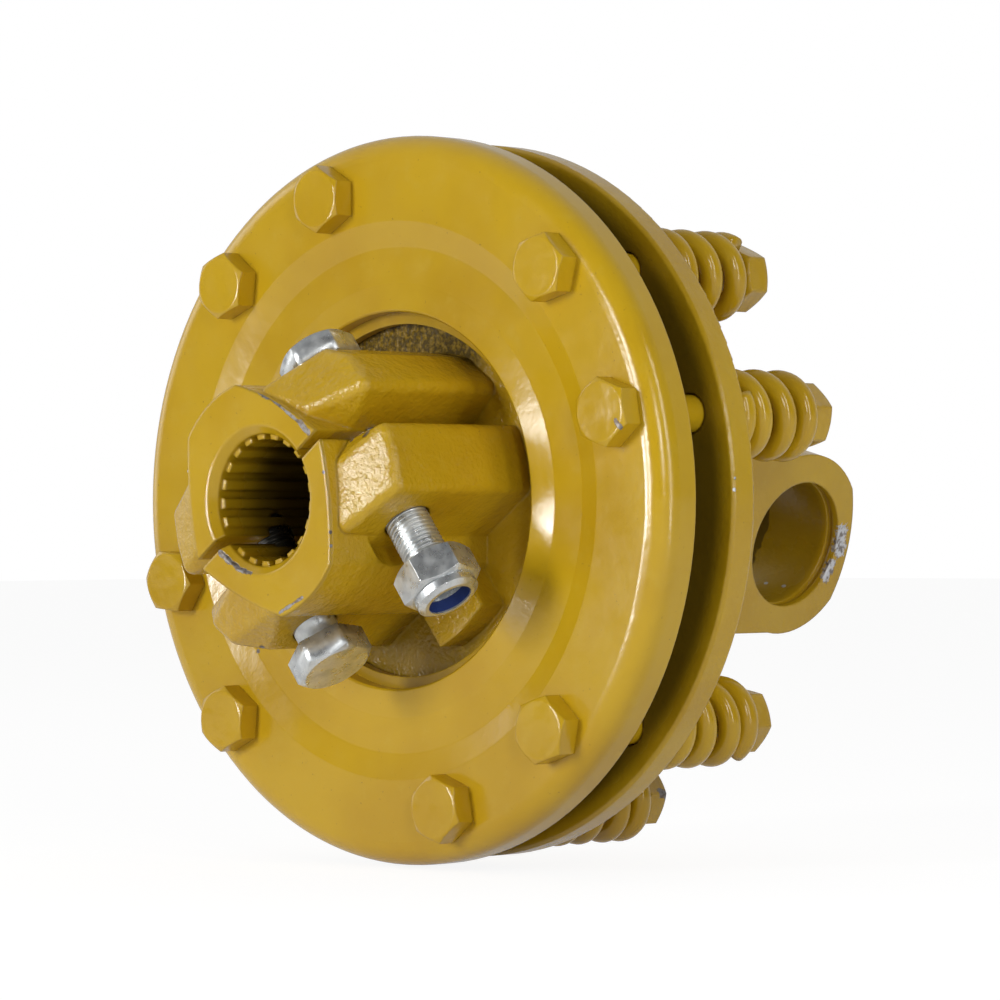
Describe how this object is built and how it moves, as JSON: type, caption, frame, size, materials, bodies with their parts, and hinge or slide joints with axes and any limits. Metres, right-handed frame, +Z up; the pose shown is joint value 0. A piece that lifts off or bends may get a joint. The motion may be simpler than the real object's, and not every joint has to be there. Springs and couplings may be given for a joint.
{
  "type": "drive shaft coupling",
  "caption": "yellow painted friction clutch coupling for a farm drive shaft, with a splined clamp hub, coil springs on through bolts and a flanged joint fork",
  "frame": {"origin": "centre of the splined bore where its teeth begin, 4 mm inside the hub's front face", "axes": "+Y along the shaft from the hub to the fork, +Z up, +X to the right seen from the hub's end"},
  "size_m": [0.197, 0.1868, 0.197],
  "materials": {
    "paint": "gloss",
    "cast_paint": "gloss",
    "zinc": "satin",
    "steel": "satin",
    "bronze": "satin",
    "lining": "matte",
    "nylon": "satin"
  },
  "bodies": {
    "hub_side": {"hub": "cast_paint", "hub_driven_disc": "steel", "clamp_bolt_1": "zinc", "clamp_bolt_2": "zinc", "clamp_nut_1": "zinc", "clamp_nut_2": "zinc", "nut_insert_1": "nylon", "nut_insert_2": "nylon"},
    "fork_side": {"front_plate": "paint", "flanged_fork": "paint", "centring_bush": "bronze", "bolt_driven_disc": "steel", "spring_bolt_1": "paint", "spring_1": "paint", "spring_nut_1": "paint", "spring_bolt_2": "paint", "spring_2": "paint", "spring_nut_2": "paint", "spring_bolt_3": "paint", "spring_3": "paint", "spring_nut_3": "paint", "spring_bolt_4": "paint", "spring_4": "paint", "spring_nut_4": "paint", "spring_bolt_5": "paint", "spring_5": "paint", "spring_nut_5": "paint", "spring_bolt_6": "paint", "spring_6": "paint", "spring_nut_6": "paint", "spring_bolt_7": "paint", "spring_7": "paint", "spring_nut_7": "paint", "spring_bolt_8": "paint", "spring_8": "paint", "spring_nut_8": "paint"},
    "disc_1": {"friction_disc_1": "lining"},
    "disc_2": {"friction_disc_2": "lining"},
    "disc_3": {"friction_disc_3": "lining"},
    "disc_4": {"friction_disc_4": "lining"}
  },
  "joints": [
    {"name": "slip", "type": "hinge", "parent": "hub_side", "child": "fork_side", "pos_m": [0, 0.0778, 0], "axis": [0, 1, 0], "continuous": true},
    {"name": "disc_1_slip", "type": "hinge", "parent": "fork_side", "child": "disc_1", "pos_m": [0, 0.0522, 0], "axis": [0, 1, 0], "continuous": true},
    {"name": "disc_2_slip", "type": "hinge", "parent": "fork_side", "child": "disc_2", "pos_m": [0, 0.0604, 0], "axis": [0, 1, 0], "continuous": true},
    {"name": "disc_3_slip", "type": "hinge", "parent": "fork_side", "child": "disc_3", "pos_m": [0, 0.0656, 0], "axis": [0, 1, 0], "continuous": true},
    {"name": "disc_4_slip", "type": "hinge", "parent": "fork_side", "child": "disc_4", "pos_m": [0, 0.0718, 0], "axis": [0, 1, 0], "continuous": true}
  ]
}
